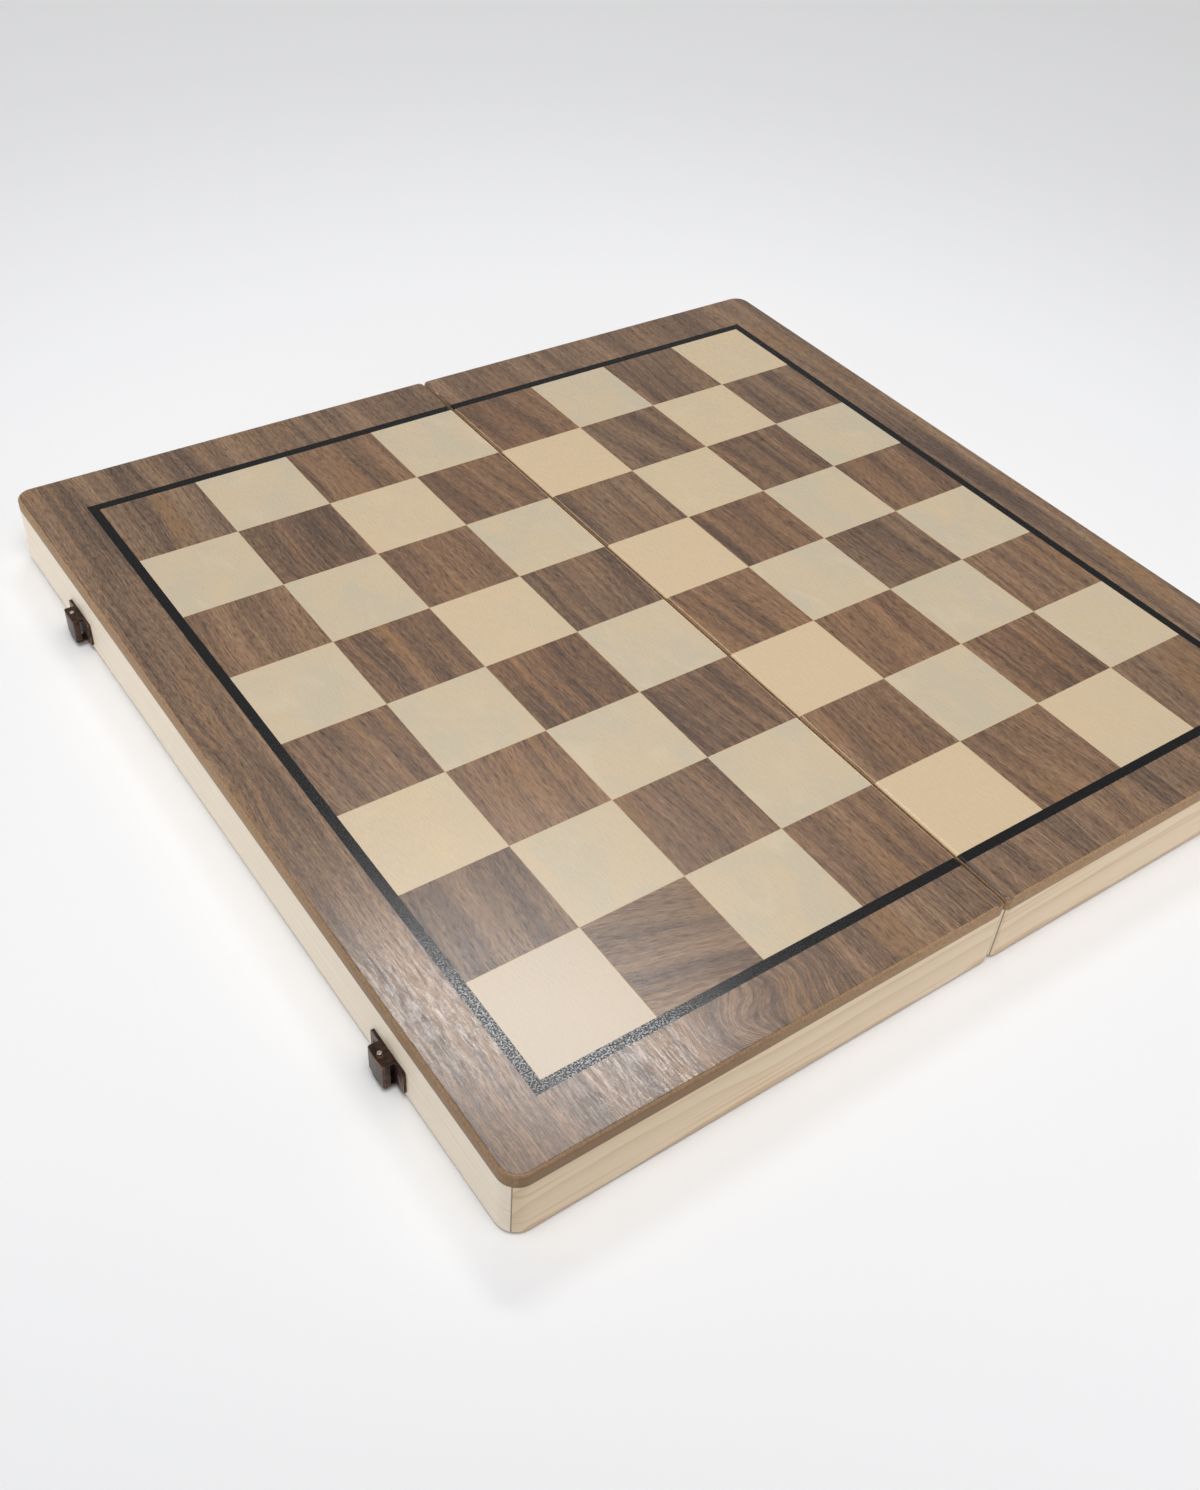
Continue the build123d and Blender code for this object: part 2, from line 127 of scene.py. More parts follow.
# The world is brightest at the horizon and dim high up on the board's far side
worldLook = {
    "high": 0.47,
    "low": 1.38,
    "climb": (0.15, 0.60),
    "back": 0.16,
    "backWay": (0.55, 0.83),
    "backSides": (-0.25, 0.45),
    "backFoot": (0.16, 0.34),
    "backTop": (0.95, 0.80),
}

# place, width, height, roll in degrees, power
lamps = {
    "keyLight": ((0.564, 0.912, 1.750), 0.66, 0.175, -13, 6.3),
    "overheadLight": ((-0.33, -0.40, 1.28), 0.80, 0.80, 0, 10.3),
}


def addLamp(name, place, width, height, roll, power):
    data = bpy.data.lights.new(name, "AREA")
    data.shape = "RECTANGLE"
    data.size = width
    data.size_y = height
    data.energy = power
    lamp = bpy.data.objects.new(name, data)
    scene.collection.objects.link(lamp)
    lamp.location = place
    aim = Vector(place).to_track_quat("Z", "Y")
    lamp.rotation_euler = (aim @ Quaternion((0, 0, 1), math.radians(roll))).to_euler()
    lamp.visible_camera = False


def addStudio():
    for name, values in lamps.items():
        addLamp(name, *values)
    bpy.ops.object.select_all(action="DESELECT")
    bpy.ops.mesh.primitive_circle_add(
        vertices=tableLook["sides"], radius=tableLook["radius"], fill_type="NGON", location=(0, 0, 0))
    floor = bpy.context.object
    floor.name = "tableTop"
    width, height = cardLook["size"]
    x, y = cardLook["place"]
    turn = math.atan2(y, x) + math.pi / 2
    bpy.ops.mesh.primitive_plane_add(size=1, location=(x, y, height / 2), rotation=(math.pi / 2, 0, turn))
    card = bpy.context.object
    card.name = "darkCard"
    card.scale = (width, height, 1)
    card.visible_camera = False
    return floor, card


table, card = addStudio()


# Node helpers
def newMaterial(name):
    made = bpy.data.materials.new(name)
    made.use_nodes = True
    tree = made.node_tree
    return made, tree, tree.nodes["Principled BSDF"]


def feed(tree, socket, value):
    if isinstance(value, bpy.types.NodeSocket):
        tree.links.new(value, socket)
    elif value is not None:
        socket.default_value = value


def feedInputs(tree, made, values):
    for key, value in values.items():
        feed(tree, made.inputs[key], value)


def calc(tree, operation, a, b=None, c=None, clamp=False):
    made = tree.nodes.new("ShaderNodeMath")
    made.operation = operation
    made.use_clamp = clamp
    for socket, value in zip(made.inputs, (a, b, c)):
        feed(tree, socket, value)
    return made.outputs[0]


def times(tree, a, b):
    return calc(tree, "MULTIPLY", a, b)


def timesPlus(tree, a, b, c):
    return calc(tree, "MULTIPLY_ADD", a, b, c)


def minus(tree, a, b):
    return calc(tree, "SUBTRACT", a, b)


def over(tree, a, b):
    return calc(tree, "DIVIDE", a, b)


def vectorCalc(tree, operation, a, b=None, scale=None):
    made = tree.nodes.new("ShaderNodeVectorMath")
    made.operation = operation
    feed(tree, made.inputs[0], a)
    feed(tree, made.inputs[1], b)
    if scale is not None:
        feed(tree, made.inputs["Scale"], scale)
    return made.outputs["Vector"]


def combine(tree, x, y, z):
    made = tree.nodes.new("ShaderNodeCombineXYZ")
    for socket, value in zip(made.inputs, (x, y, z)):
        feed(tree, socket, value)
    return made.outputs[0]


def separate(tree, vector):
    made = tree.nodes.new("ShaderNodeSeparateXYZ")
    tree.links.new(vector, made.inputs[0])
    return made.outputs


def objectPlace(tree):
    return tree.nodes.new("ShaderNodeTexCoord").outputs["Object"]


# Object coordinates in millimetres
def millimetres(tree):
    return vectorCalc(tree, "SCALE", objectPlace(tree), scale=1 / mm)


def noise(tree, vector, scale, detail=2.0, roughness=0.5, distortion=0.0):
    made = tree.nodes.new("ShaderNodeTexNoise")
    feedInputs(tree, made, {
        "Vector": vector, "Scale": scale, "Detail": detail, "Roughness": roughness, "Distortion": distortion})
    return made.outputs["Fac"]


# Noise with grains of one size, in millimetres
def grit(tree, place, size, detail=2.0, roughness=0.5):
    return noise(tree, place, 1 / size, detail, roughness)


# Noise drawn out along y, with the width and length of its streaks in millimetres
def streak(tree, place, width, length, detail=2.0, roughness=0.5, distortion=0.0, depth=0.0):
    stretched = vectorCalc(tree, "MULTIPLY", place, (1 / width, 1 / length, depth))
    return noise(tree, stretched, 1, detail, roughness, distortion)


def whiteNoise(tree, x, y, z):
    made = tree.nodes.new("ShaderNodeTexWhiteNoise")
    made.noise_dimensions = "3D"
    tree.links.new(combine(tree, x, y, z), made.inputs["Vector"])
    return made.outputs["Color"]


# Nearly all of a noise's values lie between these
usual = (0.3, 0.7)


# Goes from toLow to toHigh while the value goes from low to high
def spread(tree, value, low, high, toLow=0.0, toHigh=1.0, smooth=True):
    made = tree.nodes.new("ShaderNodeMapRange")
    made.interpolation_type = "SMOOTHSTEP" if smooth else "LINEAR"
    for socket, number in zip(made.inputs, (value, low, high, toLow, toHigh)):
        feed(tree, socket, number)
    return made.outputs[0]


# The swing of a noise either way from its middle, added to a value
def addSwing(tree, value, wave, gain):
    return timesPlus(tree, minus(tree, wave, 0.5), gain, value)


# How far a point lies along a level direction
def along(tree, x, y, way):
    return timesPlus(tree, x, way[0], times(tree, y, way[1]))


def squaredLength(tree, x, y):
    return timesPlus(tree, x, x, times(tree, y, y))


def levelLength(tree, x, y):
    return calc(tree, "SQRT", squaredLength(tree, x, y))


def blendColour(tree, factor, a, b, mode="MIX"):
    made = tree.nodes.new("ShaderNodeMix")
    made.data_type = "RGBA"
    made.blend_type = mode
    feed(tree, made.inputs[0], factor)
    for socket, value in ((made.inputs[6], a), (made.inputs[7], b)):
        feed(tree, socket, (*value, 1) if isinstance(value, tuple) else value)
    return made.outputs[2]


# A colour made darker or lighter by a number
def shaded(tree, colour, shade):
    return blendColour(tree, 1.0, colour, combine(tree, shade, shade, shade), "MULTIPLY")


def dimmed(colour, share):
    return tuple(part * share for part in colour)


def ramp(tree, factor, stops):
    made = tree.nodes.new("ShaderNodeValToRGB")
    feed(tree, made.inputs[0], factor)
    elements = made.color_ramp.elements
    while len(elements) < len(stops):
        elements.new(0.5)
    for element, (place, colour) in zip(elements, stops):
        element.position = place
        element.color = (*colour, 1)
    return made.outputs[0]


# Feeds a surface to its shader; the bump's depth is in metres
def wire(tree, shader, colour, rough, height, depth, strength=1.0, specular=0.5):
    relief = tree.nodes.new("ShaderNodeBump")
    feedInputs(tree, relief, {"Strength": strength, "Distance": depth, "Height": height})
    feedInputs(tree, shader, {
        "Normal": relief.outputs[0], "Base Color": colour, "Roughness": rough, "Specular IOR Level": specular})


# A point's x, and how far it lies past the first line beside the seam and past the middle of the field
def fieldPlace(tree, place):
    x, y, _ = separate(tree, place)
    across = minus(tree, calc(tree, "ABSOLUTE", x), board["fieldInner"])
    return x, across, minus(tree, y, board["fieldY"])


# Column and row of the square that a point lies in: columns -4 to 4 without 0, rows -4 to 3
def squareAt(tree, place):
    x, *ways = fieldPlace(tree, place)
    column, row = (calc(tree, "FLOOR", over(tree, way, board["square"])) for way in ways)
    column = calc(tree, "ADD", calc(tree, "MAXIMUM", column, 0.0), 1.0)
    return times(tree, calc(tree, "SIGN", x), column), row


# 1 in one column or row, 0 elsewhere
def isAt(tree, found, wanted):
    return calc(tree, "COMPARE", found, float(wanted), 0.1)


def inSquare(tree, square, wanted):
    return times(tree, *(isAt(tree, a, b) for a, b in zip(square, wanted)))


# Millimetres from a point to the nearest joint between two squares
def squareEdge(tree, place):
    gaps = []
    for way in fieldPlace(tree, place)[1:]:
        part = calc(tree, "FRACT", over(tree, way, board["square"]))
        part = calc(tree, "MINIMUM", part, minus(tree, 1.0, part))
        # the field's own outline has no joint
        outside = calc(tree, "GREATER_THAN", calc(tree, "ABSOLUTE", way), board["lastJoint"] * board["square"])
        gaps.append(calc(tree, "ADD", part, outside))
    return times(tree, calc(tree, "MINIMUM", *gaps), board["square"])


# A soft hill on the sheet: its height at the middle, nothing far from it
def hill(tree, place, middle, halfWidth, halfLength, height):
    away = vectorCalc(tree, "SUBTRACT", place, (*middle, 0.0))
    x, y, _ = separate(tree, vectorCalc(tree, "MULTIPLY", away, (1 / halfWidth, 1 / halfLength, 0.0)))
    return times(tree, calc(tree, "EXPONENT", times(tree, squaredLength(tree, x, y), -1.0)), height)


# The brown board under the veneers
fibreLook = {
    "dark": (0.200, 0.112, 0.047),
    "light": (0.370, 0.222, 0.104),
    "speck": (0.450, 0.290, 0.150),
    "rounded": ((0.205, 0.122, 0.058), (0.355, 0.218, 0.110)),  # where the board's top edge is rounded
    "veneer": 0.10,  # the veneer's thickness there, in millimetres
    "ragged": 0.05,  # and how much that varies
    "seamDrop": -0.50,  # beside the seam it reaches further down, over the sharp edge
    "seamReach": 4.0,
    "duller": 0.3,  # added to the veneer's roughness
    "specks": (0.62, 0.72),
    "speckShare": 0.6,
    "cloudShare": 0.25,
    "cornerShadeShare": 0.7,  # painted shade: the near edge is darker towards its corner
    "cornerShadeFrom": (-60.0, -160.0),
    "brighter": 1.22,  # painted sheen on the edge further from the near outer corner
    "paintedSheenFrom": (65.0, 175.0),
    "roughness": (0.45, 0.65),
    "bump": 0.00012,
    "bumpStrength": 0.7,
}
# The grains of each noise: size in millimetres, detail and roughness
fibreGrain = {
    "ragged": (2.2, 3, 0.6),
    "fibre": (0.9, 4, 0.7),
    "speck": (0.35, 2, 0.6),
    "slow": (18, 2, 0.5),
}


# Painted light on the board's brown edge: painted shade round the near outer corner, a painted sheen further from
# it
def shadeAndSheenAway(tree, place, colour):
    x, y, _ = separate(tree, place)
    x = calc(tree, "ADD", x, board["halfEdge"])
    y = calc(tree, "ADD", y, board["halfLength"])
    shade = spread(tree, levelLength(tree, x, y), *fibreLook["paintedSheenFrom"], 1.0, fibreLook["brighter"])
    return shaded(tree, colour, shade)


# Where the veneer runs down the rounded edge it thins out to the brown board below it
def edgeOfPanel(tree, place, colour):
    x, _, z = separate(tree, place)
    ragged = grit(tree, place, *fibreGrain["ragged"])
    nearSeam = calc(tree, "LESS_THAN", calc(tree, "ABSOLUTE", x), fibreLook["seamReach"])
    limit = timesPlus(tree, ragged, fibreLook["ragged"], board["top"] - fibreLook["veneer"])
    limit = timesPlus(tree, nearSeam, fibreLook["seamDrop"], limit)
    under = calc(tree, "LESS_THAN", z, limit)
    fibres = spread(tree, grit(tree, place, *fibreGrain["fibre"]), *usual)
    # the rounded brown gets the same painted shade and sheen
    brown = shadeAndSheenAway(tree, place, blendColour(tree, fibres, *fibreLook["rounded"]))
    return blendColour(tree, under, colour, brown), under


def wireVeneer(tree, shader, place, look, colour, rough, height):
    colour, under = edgeOfPanel(tree, place, colour)
    rough = timesPlus(tree, under, fibreLook["duller"], rough)
    wire(tree, shader, colour, rough, height, look["bump"], specular=look["specular"])


def makeFibreboard():
    made, tree, shader = newMaterial("fibreboard")
    place = millimetres(tree)
    look, dark = fibreLook, fibreLook["dark"]
    fibre, speck, slow = (grit(tree, place, *fibreGrain[name]) for name in ("fibre", "speck", "slow"))
    colour = blendColour(tree, spread(tree, fibre, *usual), dark, look["light"])
    specks = spread(tree, speck, *look["specks"], 0.0, look["speckShare"])
    colour = blendColour(tree, specks, colour, look["speck"])
    colour = blendColour(tree, spread(tree, slow, *usual, 0.0, look["cloudShare"]), colour, dark)
    x, y, _ = separate(tree, place)
    # painted shade along the near edge, darker towards its corner
    onNearEdge = calc(tree, "LESS_THAN", y, 1.0 - board["halfLength"])
    cornerShade = spread(tree, x, *look["cornerShadeFrom"], 0.0, look["cornerShadeShare"])
    colour = blendColour(tree, times(tree, onNearEdge, cornerShade), colour, dark)
    # painted shade near the outer corner, painted sheen further from it
    colour = shadeAndSheenAway(tree, place, colour)
    rough = spread(tree, fibre, *usual, *look["roughness"])
    wire(tree, shader, colour, rough, fibre, look["bump"], look["bumpStrength"])
    return made


walnutLook = {
    "dark": (0.108, 0.072, 0.054),
    "mid": (0.213, 0.131, 0.082),
    "light": (0.325, 0.202, 0.122),
    "stops": (0.10, 0.50, 0.88),  # tones at which those three stand
    "orange": (0.285, 0.158, 0.074),
    "orangeCloud": (0.45, 0.72),
    "orangeTone": (0.35, 0.8),
    "orangeShare": 0.75,
    "pore": (0.070, 0.046, 0.034),
    "poreLine": (0.42, 0.30),
    "poreFibre": (0.52, 0.38),
    "poreShare": 0.55,
    "darkDash": (0.47, 0.34),  # short strokes along the grain
    "paleDash": (0.54, 0.68),
    "paleShare": 0.5,
    "wiggle": 1.6,  # millimetres
    "gloss": (0.66, 0.38),
    "glossWeave": 0.8,
    "glossRidge": 0.4,
    "dashRough": 0.3,
    "dashDepth": -0.25,  # shares of the bump
    "fibreDepth": 0.30,
    "weaveDepth": 0.30,
    "bump": 0.000016,
}
# The streaks of each layer: width and length in millimetres, detail and roughness
walnutGrain = {
    "sway": (48, 60, 2),
    "wiggle": (16, 50, 2),
    "bands": (9, 150, 2, 0.5),
    "streaks": (2.6, 110, 3, 0.55),
    "lines": (0.7, 46, 3, 0.6),
    "fibre": (0.52, 3.0, 2, 0.6),
    "weave": (0.9, 0.6, 2, 0.6),
    "cloud": (24, 46, 2),
    "dash": (0.56, 5.0, 1.5, 0.5),
    "ridge": (0.9, 26, 3, 0.65),
    "patch": (1.2, 8, 2, 0.55),
}
# How much a layer shows in the tone
walnutGain = {"bands": 1.50, "streaks": 0.90, "lines": 1.15, "fibre": 1.00, "weave": 0.55}
walnutSquare = {
    **walnutLook,
    "roughness": (0.24, 0.29), "ridges": 0.06, "dashes": 0.36, "swing": 8.0, "specular": 0.55,
    "seed": 3.7, "shift": 700.0, "turns": 0.20, "tones": 0.17, "casts": ((0.94, 0.98, 1.02), (1.08, 1.0, 0.92)),
    # one square, beside the near corner's light one, shows its figure from side to side
    "crossed": (-3, -4), "crossedTurn": 1.79, "crossedTone": 0.10,
    "jointFade": (0.05, 0.25), "jointShare": 0.5,
}
walnutEdge = {
    **walnutLook,
    "roughness": (0.165, 0.255), "ridges": 0.08, "dashes": 0.34, "swing": 5.5, "specular": 0.52,
    "shift": (311.0, 57.0, 0.0), "tone": -0.02, "cast": (1.05, 1.09, 1.14),
    # middle, half-width and half-length of each knot, in millimetres, and how far it pushes the grain aside
    "knots": (((-107, -182), 13, 12, 9.0), ((-80, -174), 15, 10, -6.0), ((-184, -6), 6, 21, -3.5)),
    # the same for places that are paler or darker than the rest, and by how much
    "areas": (((-178, 8), 16, 38, 0.16), ((-42, -180), 38, 14, 0.10), ((-146, -182), 18, 14, -0.10)),
}


# The layers of the figure, its grain along y and bent round the knots. Each sheet has its own shift and turn.
def walnutLayers(tree, place, look, shift, turn):
    turned = tree.nodes.new("ShaderNodeVectorRotate")
    turned.rotation_type = "Z_AXIS"
    feedInputs(tree, turned, {"Vector": place, "Angle": turn})
    moved = vectorCalc(tree, "ADD", turned.outputs[0], shift)
    x, y, _ = separate(tree, moved)
    across = timesPlus(tree, streak(tree, moved, *walnutGrain["sway"]), look["swing"], x)
    across = timesPlus(tree, streak(tree, moved, *walnutGrain["wiggle"]), look["wiggle"], across)
    for knot in look.get("knots", ()):
        across = calc(tree, "ADD", across, hill(tree, place, *knot))
    bent = combine(tree, across, y, 0.0)
    straight = ("weave", "cloud")
    return {
        name: streak(tree, moved if name in straight else bent, *size)
        for name, size in walnutGrain.items() if name not in ("sway", "wiggle")}


def walnutColour(tree, place, look, tone, layers, dark):
    value = 0.5
    for name, gain in walnutGain.items():
        value = addSwing(tree, value, layers[name], gain)
    value = calc(tree, "ADD", value, tone)
    for area in look.get("areas", ()):
        value = calc(tree, "ADD", value, hill(tree, place, *area))
    colour = ramp(tree, value, [
        (stop, look[name]) for stop, name in zip(look["stops"], ("dark", "mid", "light"))])
    orange = times(
        tree, spread(tree, layers["cloud"], *look["orangeCloud"]), spread(tree, value, *look["orangeTone"]))
    colour = blendColour(tree, times(tree, orange, look["orangeShare"]), colour, look["orange"])
    pore = times(
        tree, spread(tree, layers["lines"], *look["poreLine"]), spread(tree, layers["fibre"], *look["poreFibre"]))
    colour = blendColour(tree, times(tree, pore, look["poreShare"]), colour, look["pore"])
    pale = spread(tree, layers["dash"], *look["paleDash"])
    shade = minus(tree, 1.0, times(tree, dark, look["dashes"]))
    shade = timesPlus(tree, pale, look["dashes"] * look["paleShare"], shade)
    return shaded(tree, colour, shade)


# A sheet of walnut veneer
def walnutNodes(tree, place, look, shift, turn, tone):
    layers = walnutLayers(tree, place, look, shift, turn)
    dark = spread(tree, layers["dash"], *look["darkDash"])
    colour = walnutColour(tree, place, look, tone, layers, dark)
    gloss = addSwing(tree, layers["patch"], layers["weave"], look["glossWeave"])
    gloss = addSwing(tree, gloss, layers["ridge"], look["glossRidge"])
    rough = spread(tree, gloss, *look["gloss"], *look["roughness"])
    rough = timesPlus(tree, dark, look["ridges"] * look["dashRough"], rough)
    height = times(tree, layers["ridge"], look["ridges"])
    for layer, depth in ((dark, "dashDepth"), (layers["fibre"], "fibreDepth"), (layers["weave"], "weaveDepth")):
        height = timesPlus(tree, layer, look[depth], height)
    return colour, rough, height


def makeWalnutSquares():
    made, tree, shader = newMaterial("walnutSquares")
    look = walnutSquare
    place = millimetres(tree)
    square = squareAt(tree, place)
    picks = whiteNoise(tree, *square, look["seed"])
    r, g, b = separate(tree, picks)
    shift = vectorCalc(tree, "SCALE", picks, scale=look["shift"])
    crossed = inSquare(tree, square, look["crossed"])
    turn = times(tree, minus(tree, g, 0.5), look["turns"])
    turn = timesPlus(tree, crossed, look["crossedTurn"], turn)
    tone = times(tree, minus(tree, b, 0.5), look["tones"])
    tone = timesPlus(tree, crossed, look["crossedTone"], tone)
    colour, rough, height = walnutNodes(tree, place, look, shift, turn, tone)
    colour = blendColour(tree, 1.0, colour, blendColour(tree, r, *look["casts"]), "MULTIPLY")
    joint = spread(tree, squareEdge(tree, place), *look["jointFade"], look["jointShare"], 0.0)
    colour = blendColour(tree, joint, colour, mapleLook["joint"])
    wireVeneer(tree, shader, place, look, colour, rough, height)
    return made


def makeWalnutBorder():
    made, tree, shader = newMaterial("walnutBorder")
    look = walnutEdge
    place = millimetres(tree)
    colour, rough, height = walnutNodes(tree, place, look, look["shift"], 0.0, look["tone"])
    colour = blendColour(tree, 1.0, colour, look["cast"], "MULTIPLY")
    wireVeneer(tree, shader, place, look, colour, rough, height)
    return made


mapleLook = {
    "base": (0.632, 0.514, 0.352),
    "pale": (0.675, 0.565, 0.408),
    "green": (0.592, 0.505, 0.368),
    "warm": (0.700, 0.530, 0.335),
    "cool": (0.628, 0.520, 0.402),
    "joint": (0.740, 0.550, 0.350),
    "roughness": (0.26, 0.29),
    "specular": 0.5,
    "bump": 0.0000025,
    "seed": 9.1,
    "shift": 500.0,
    "greenFrom": (0.34, 0.64),  # where each colour begins and ends, and its share there
    "warmFrom": (0.56, 0.78, 0.0, 0.5),
    "paleFrom": (0.46, 0.22, 0.0, 0.6),
    "warmSquares": (0.80, 0.95, 0.0, 0.5),  # a few squares by chance
    "warmColumn": 1,  # and those beside the seam on the right half
    "warmShare": 0.75,
    "coolSquare": (-4, -4),  # the one in the near corner is the least yellow
    "coolShare": 0.8,
    "fibreGain": 0.008,
    "fleckGain": 0.09,
    "jointFade": (0.15, 0.40),
    "jointShare": 0.75,
}
# Width, length, detail, roughness, distortion and depth
mapleGrain = {
    "cloud": (19, 30, 2, 0.5, 0.4),
    "patch": (13, 24, 1.5, 0.5, 0.6, 0.3),
    "fibre": (0.8, 16, 3, 0.6),
    "fleck": (0.28, 4.5, 2, 0.6),
}


def makeMapleSquares():
    made, tree, shader = newMaterial("mapleSquares")
    look = mapleLook
    place = millimetres(tree)
    square = squareAt(tree, place)
    picks = whiteNoise(tree, *square, look["seed"])
    chance = separate(tree, picks)[0]
    moved = vectorCalc(tree, "ADD", place, vectorCalc(tree, "SCALE", picks, scale=look["shift"]))
    cloud, patch, fibre, fleck = (
        streak(tree, moved, *mapleGrain[name]) for name in ("cloud", "patch", "fibre", "fleck"))
    colour = blendColour(tree, spread(tree, cloud, *look["greenFrom"]), look["base"], look["green"])
    colour = blendColour(tree, spread(tree, patch, *look["warmFrom"]), colour, look["warm"])
    colour = blendColour(tree, spread(tree, patch, *look["paleFrom"]), colour, look["pale"])
    besideSeam = times(tree, isAt(tree, square[0], look["warmColumn"]), look["warmShare"])
    warmSquare = calc(tree, "MAXIMUM", spread(tree, chance, *look["warmSquares"]), besideSeam)
    colour = blendColour(tree, warmSquare, colour, look["warm"])
    corner = times(tree, inSquare(tree, square, look["coolSquare"]), look["coolShare"])
    colour = blendColour(tree, corner, colour, look["cool"])
    shade = addSwing(tree, 1.0, fibre, look["fibreGain"])
    colour = shaded(tree, colour, addSwing(tree, shade, fleck, look["fleckGain"]))
    joint = spread(tree, squareEdge(tree, place), *look["jointFade"], look["jointShare"], 0.0)
    colour = blendColour(tree, joint, colour, look["joint"])
    rough = spread(tree, fleck, *usual, *look["roughness"])
    wireVeneer(tree, shader, place, look, colour, rough, fleck)
    return made


lineLook = {
    "colours": ((0.003, 0.003, 0.004), (0.020, 0.019, 0.020)),
    "grain": (0.62, 2, 0.7),  # size in millimetres, detail and roughness
    "colourFrom": (0.46, 0.62),
    "glossFrom": (0.60, 0.44),
    "roughness": (0.11, 0.31),
    "specular": 0.45,
    "bump": 0.000011,
}


def makeBlackLine():
    made, tree, shader = newMaterial("blackLine")
    grains = grit(tree, millimetres(tree), *lineLook["grain"])
    colour = blendColour(tree, spread(tree, grains, *lineLook["colourFrom"]), *lineLook["colours"])
    rough = spread(tree, grains, *lineLook["glossFrom"], *lineLook["roughness"])
    wire(tree, shader, colour, rough, grains, lineLook["bump"], specular=lineLook["specular"])
    return made


# Pine walls. Their growth rings run round a line beside the wall, whose place is across the wall and up.
pines = {
    "pineOuter": {
        "name": "pineOuterWall", "runs": "y", "centre": (230.0, -40.0), "spacing": 2.6, "contrast": 0.35,
        "base": (0.935, 0.825, 0.67), "late": (0.70, 0.50, 0.32)},
    "pineEnd": {
        "name": "pineEndWall", "runs": "x", "centre": (240.0, -10.0), "spacing": 3.4, "contrast": 1.15,
        "base": (0.79, 0.635, 0.445), "late": (0.60, 0.38, 0.20)},
}
# Lengths of the streaks along the wall and up it, in millimetres
pineGrain = {
    "drift": (130.0, 40.0),
    "wobble": (45.0, 9.0),
    "resin": (80.0, 1.5),
    "cloud": (60.0, 12.0),
    "fibre": (14.0, 0.45),
}
pineLook = {
    "drift": 14.0,
    "wobble": 1.6,
    "ringPower": 2.6,
    "ringEdge": (0.9, 1.0),
    "uneven": (*usual, 0.25, 1.0),  # some rings are fainter than others
    "unevenRings": 1.3,  # this many at a time
    "resin": (0.62, 0.36, 0.16),
    "resinFrom": (0.56, 0.74),
    "resinShare": 0.55,
    "resinSeed": 0.37,
    "cloud": (0.93, 0.92, 0.88),  # shares of the base colour
    "cloudFrom": (0.45, 0.7, 0.0, 0.35),
    "cloudSeed": 4.2,
    "fibreGain": 0.16,
    "glue": (0.16, 0.10, 0.055),  # the mitres' glue line, and painted shade of the gap beside the seam
    "glueAndShadeFade": (0.12, 0.42),
    "glueAndShadeShare": 0.85,
    "roughness": (0.36, 0.5),
    "bump": 0.00004,
    "bumpStrength": 0.4,
    "ringDepth": 0.6,
}


def makePine(name, runs, centre, spacing, contrast, base, late):
    made, tree, shader = newMaterial(name)
    look = pineLook
    x, y, z = separate(tree, millimetres(tree))
    length, out = (y, x) if runs == "y" else (x, y)

    def drawn(layer, third, *settings):
        flow, up = (over(tree, a, b) for a, b in zip((length, z), pineGrain[layer]))
        return noise(tree, combine(tree, flow, up, third), 1, *settings)

    drift = drawn("drift", centre[0], 2)
    wobble = drawn("wobble", centre[1], 2)
    u = minus(tree, calc(tree, "ABSOLUTE", out), centre[0])
    v = minus(tree, z, timesPlus(tree, drift, look["drift"], centre[1]))
    radius = timesPlus(tree, wobble, look["wobble"], levelLength(tree, u, v))
    ring = calc(tree, "FRACT", over(tree, radius, spacing))
    uneven = noise(tree, combine(tree, over(tree, radius, spacing * look["unevenRings"]), 0.0, 0.0), 1, 1)
    uneven = spread(tree, uneven, *look["uneven"])
    wood = times(tree, calc(tree, "POWER", ring, look["ringPower"]), uneven)
    wood = times(tree, wood, spread(tree, ring, *look["ringEdge"], 1.0, 0.0))
    wood = calc(tree, "MULTIPLY", wood, contrast, clamp=True)
    colour = blendColour(tree, wood, base, late)
    resin = drawn("resin", centre[0] * look["resinSeed"], 2)
    resin = spread(tree, resin, *look["resinFrom"], 0.0, look["resinShare"] * contrast)
    colour = blendColour(tree, resin, colour, look["resin"])
    cloud = spread(tree, drawn("cloud", look["cloudSeed"], 2), *look["cloudFrom"])
    colour = blendColour(tree, cloud, colour, tuple(c * k for c, k in zip(base, look["cloud"])))
    fibre = drawn("fibre", over(tree, out, pineGrain["fibre"][1]), 3, 0.6)
    colour = shaded(tree, colour, addSwing(tree, 1.0, fibre, look["fibreGain"]))
    # on a mitre, a point is as far from the end of the half as from its outer or its seam face
    fromOuter = minus(tree, board["halfEdge"], calc(tree, "ABSOLUTE", x))
    fromSeam = minus(tree, calc(tree, "ABSOLUTE", x), board["seamFace"])
    fromEnd = minus(tree, board["halfLength"], calc(tree, "ABSOLUTE", y))
    mitre = minus(tree, fromEnd, calc(tree, "MINIMUM", fromOuter, fromSeam))
    # a dark glue line along the outer mitres; beside the seam the same dark line is painted shade of the gap
    # between the halves
    glue = spread(tree, calc(tree, "ABSOLUTE", mitre), *look["glueAndShadeFade"], look["glueAndShadeShare"], 0.0)
    colour = blendColour(tree, glue, colour, look["glue"])
    rough = spread(tree, fibre, *usual, *look["roughness"])
    height = timesPlus(tree, wood, look["ringDepth"], fibre)
    wire(tree, shader, colour, rough, height, look["bump"], look["bumpStrength"])
    return made


